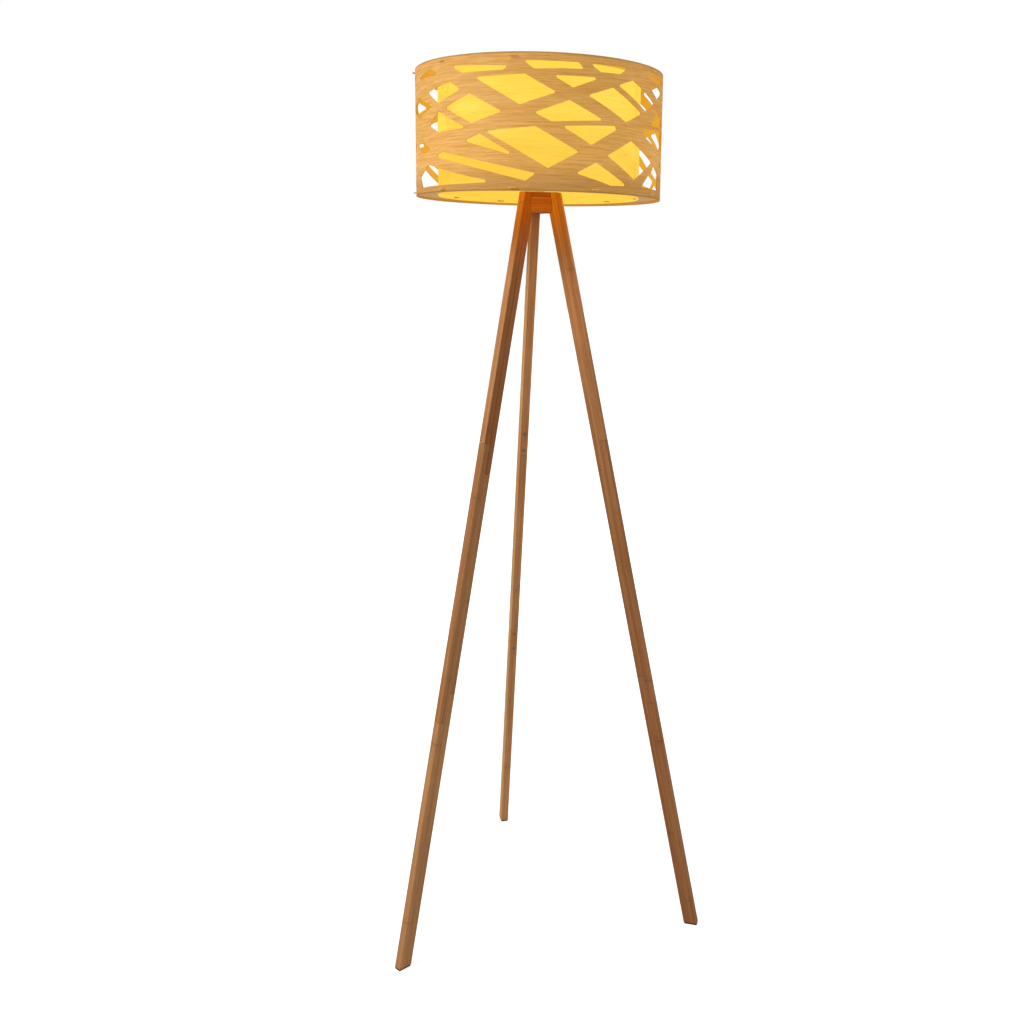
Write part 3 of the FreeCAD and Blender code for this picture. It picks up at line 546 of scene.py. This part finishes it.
def bulb_glass():
    """Frosted glass, lit from inside and dimmer at the neck."""
    look = Look("bulb_glass")
    spot = look.place()
    frost = look.noise(spot, (900, 900, 900))
    height = look.split(spot)[2]
    low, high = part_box("bulb_envelope")
    rise = look.ranged(height, low.z, low.z + 0.6 * (high.z - low.z))
    look.set(Base_Color=srgb(250, 244, 230), Roughness=look.ranged(frost, 0.3, 0.7, 0.3, 0.5),
             Emission_Color=look.mix(rise, srgb(255, 186, 96), srgb(255, 214, 146)),
             Emission_Strength=look.ranged(height, low.z, low.z + 0.05, 2.0, 9.0),
             Coat_Weight=0.4, Coat_Roughness=0.2)
    look.bump(frost, 0.0001, 0.3)
    return look


def clear_glass(name):
    look = Look(name)
    wave = look.noise(look.place(), (200, 200, 200), detail=2.0)
    look.set(Base_Color=srgb(236, 244, 238), Transmission_Weight=1.0, IOR=1.5,
             Roughness=look.ranged(wave, 0.3, 0.7, 0.02, 0.1))
    look.bump(wave, 0.0002, 0.2)
    return look


def paint_shade():
    paint(outer_veneer(), "outer_drum")
    paint(inner_veneer(), "inner_drum")
    paint(ring_wood(), "drum_ring_bottom", "drum_ring_top")
    # The seam strips' faint glow is painted light from the lamp.
    paint(plain_wood("seam_wood", srgb(176, 120, 60), srgb(214, 160, 92), (500, 500, 90), 0.06),
          "drum_seam_strips")
    paint(plain_wood("finial_wood", srgb(150, 88, 40), srgb(206, 146, 88), (700, 700, 60)),
          "finial_knob")


# Metals: two colours, roughness and the nodes that wear them.
METALS = {
    "bolt_zinc": (srgb(132, 106, 86), srgb(180, 150, 124), 0.42, ["lap_bolts"]),
    "insert_brass": (srgb(168, 126, 60), srgb(214, 176, 104), 0.3, ["lap_inserts", "finial_insert"]),
    "screw_zinc": (srgb(170, 138, 108), srgb(222, 190, 156), 0.38, ["hub_leg_screws", "hub_plate_screws"]),
    "hub_zinc": (srgb(150, 148, 144), srgb(206, 204, 200), 0.3, ["hub_washer", "hub_nut"]),
    "harp_nickel": (srgb(160, 156, 148), srgb(214, 210, 202), 0.24,
                    ["harp", "harp_saddle", "harp_sleeve_right", "harp_sleeve_left"]),
    "holder_brass": (srgb(176, 138, 76), srgb(222, 188, 124), 0.28, ["socket_cap", "socket_shell"]),
    "contact_brass": (srgb(184, 142, 74), srgb(226, 188, 116), 0.25, ["socket_contact", "bulb_contact"]),
    "filament_wire": (srgb(220, 170, 90), srgb(255, 220, 150), 0.4, ["bulb_filament"]),
}

# Mouldings: two colours, roughness, specks per metre and the nodes.
MOULDINGS = {
    "carrier_paint": (srgb(214, 208, 196), srgb(238, 234, 224), 0.42, 2200.0, ["shade_carrier"]),
    "holder_plastic": (srgb(22, 21, 20), srgb(46, 44, 42), 0.45, 1500.0, ["socket_core", "switch_knob"]),
    "liner_board": (srgb(120, 100, 72), srgb(176, 152, 116), 0.75, 900.0, ["socket_liner"]),
    "pad_rubber": (srgb(18, 17, 16), srgb(44, 42, 40), 0.7, 1100.0, ["foot_pads"]),
    "bulb_insulator": (srgb(16, 16, 18), srgb(40, 38, 44), 0.25, 600.0, ["bulb_insulator"]),
}


def paint_fittings():
    for name, (dark, light, roughness, wearers) in METALS.items():
        paint(metal(name, dark, light, roughness), *wearers)
    paint(metal("tube_zinc", srgb(150, 148, 144), srgb(206, 204, 200), 0.3, thread=TUBE_PITCH),
          "hub_tube")
    paint(metal("screw_shell_brass", srgb(184, 142, 74), srgb(226, 188, 116), 0.25, thread=BULB_PITCH),
          "socket_screw_shell")
    paint(metal("bulb_aluminium", srgb(176, 176, 174), srgb(220, 220, 218), 0.26,
                (60, 60, 900), BULB_PITCH), "bulb_cap")
    for name, (dark, light, roughness, speckles, wearers) in MOULDINGS.items():
        paint(moulded(name, dark, light, roughness, speckles), *wearers)
    paint(bulb_glass(), "bulb_envelope")
    paint(clear_glass("stem_glass"), "bulb_stem")


# ---- Stage, light and camera ------------------------------------------------

FLOOR_REACH = 30.0
SKY_LIGHT = 0.27                  # the white surroundings' strength as a light
SKY_SEEN = 1.0                    # and as the camera sees them
LIGHT_AIM = (0.0, 0.0, 0.9)

# Round lights: (azimuth, elevation, distance, diameter, watts, colour).
LIGHTS = {
    "key_left": (-165.0, 36.0, 4.2, 1.8, 98.0, (1.0, 0.99, 0.97)),
    "fill_right": (-30.0, 25.0, 4.6, 2.2, 48.0, (1.0, 0.98, 0.95)),
    "back_top": (80.0, 55.0, 4.5, 2.5, 45.0, (1.0, 1.0, 1.0)),
}

CAMERA_DISTANCE = 2.0648
CAMERA_HEIGHT = 1.2984
CAMERA_TURN = math.radians(-12.72)    # round the lamp
CAMERA_YAW = math.radians(2.88)
CAMERA_PITCH = math.radians(10.26)    # downwards
CAMERA_ROLL = math.radians(0.94)
CAMERA_SENSOR = 36.0                  # mm
CAMERA_LENS = CAMERA_SENSOR * 1078.0 / 1024.0
CAMERA_SHIFT = (-0.0764, -0.0480)


def floor():
    mesh = bpy.data.meshes.new("studio_floor")
    corners = [(-1, -1), (1, -1), (1, 1), (-1, 1)]
    mesh.from_pydata([(x * FLOOR_REACH, y * FLOOR_REACH, 0) for x, y in corners], [], [(0, 1, 2, 3)])
    made = bpy.data.objects.new("studio_floor", mesh)
    bpy.context.scene.collection.objects.link(made)
    look = Look("studio_floor")
    away = look.vector("LENGTH", look.place())
    speckle = look.noise(look.place(), (40, 40, 40), detail=2.0)
    seen = look.node("LightPath").outputs["Is Camera Ray"]
    look.set(Base_Color=look.mix(speckle, srgb(226, 226, 225), srgb(231, 231, 230)), Roughness=0.9,
             Specular_IOR_Level=0.0, Emission_Color=WHITE,
             Emission_Strength=look.times(seen, look.ranged(away, 0.5, 2.5, 0.62, 1.0)))
    mesh.materials.append(look.material)


def soft_light(name, azimuth, elevation, distance, size, power, colour):
    data = bpy.data.lights.new(name, "AREA")
    data.shape = "DISK"
    data.size = size
    data.energy = power
    data.color = colour
    made = bpy.data.objects.new(name, data)
    turn, rise = math.radians(azimuth), math.radians(elevation)
    away = Vector((math.cos(turn) * math.cos(rise), math.sin(turn) * math.cos(rise), math.sin(rise)))
    made.location = Vector(LIGHT_AIM) + away * distance
    made.rotation_euler = (-away).to_track_quat("-Z", "Y").to_euler()
    bpy.context.scene.collection.objects.link(made)


def surroundings():
    world = bpy.data.worlds.new("studio")
    bpy.context.scene.world = world
    world.use_nodes = True
    tree = world.node_tree
    background = tree.nodes["Background"]
    background.inputs["Color"].default_value = WHITE
    light_path = tree.nodes.new("ShaderNodeLightPath")
    strength = tree.nodes.new("ShaderNodeMapRange")
    tree.links.new(light_path.outputs["Is Camera Ray"], strength.inputs[0])
    strength.inputs["To Min"].default_value = SKY_LIGHT
    strength.inputs["To Max"].default_value = SKY_SEEN
    tree.links.new(strength.outputs[0], background.inputs["Strength"])


def camera():
    """Looks a little down at the lamp from its front, between the front legs."""
    sin_yaw, cos_yaw = math.sin(CAMERA_YAW), math.cos(CAMERA_YAW)
    sin_roll, cos_roll = math.sin(CAMERA_ROLL), math.cos(CAMERA_ROLL)
    level = math.cos(CAMERA_PITCH)
    ahead = Vector((sin_yaw * level, cos_yaw * level, -math.sin(CAMERA_PITCH)))
    right = Vector((cos_yaw, -sin_yaw, 0.0))
    up = right.cross(ahead)
    right, up = cos_roll * right + sin_roll * up, cos_roll * up - sin_roll * right
    round_lamp = Matrix.Rotation(CAMERA_TURN, 3, "Z")
    place = round_lamp @ Vector((0.0, -CAMERA_DISTANCE, CAMERA_HEIGHT))
    axes = round_lamp @ Matrix((right, up, -ahead)).transposed()
    data = bpy.data.cameras.new("camera")
    data.sensor_width = CAMERA_SENSOR
    data.lens = CAMERA_LENS
    data.shift_x, data.shift_y = CAMERA_SHIFT
    made = bpy.data.objects.new("camera", data)
    made.matrix_world = Matrix.Translation(place) @ axes.to_4x4()
    bpy.context.scene.collection.objects.link(made)
    bpy.context.scene.camera = made


paint_legs_and_hub()
paint_shade()
paint_fittings()
floor()
for light_name, settings in LIGHTS.items():
    soft_light(light_name, *settings)
surroundings()
camera()
bpy.context.scene.view_settings.view_transform = "Standard"
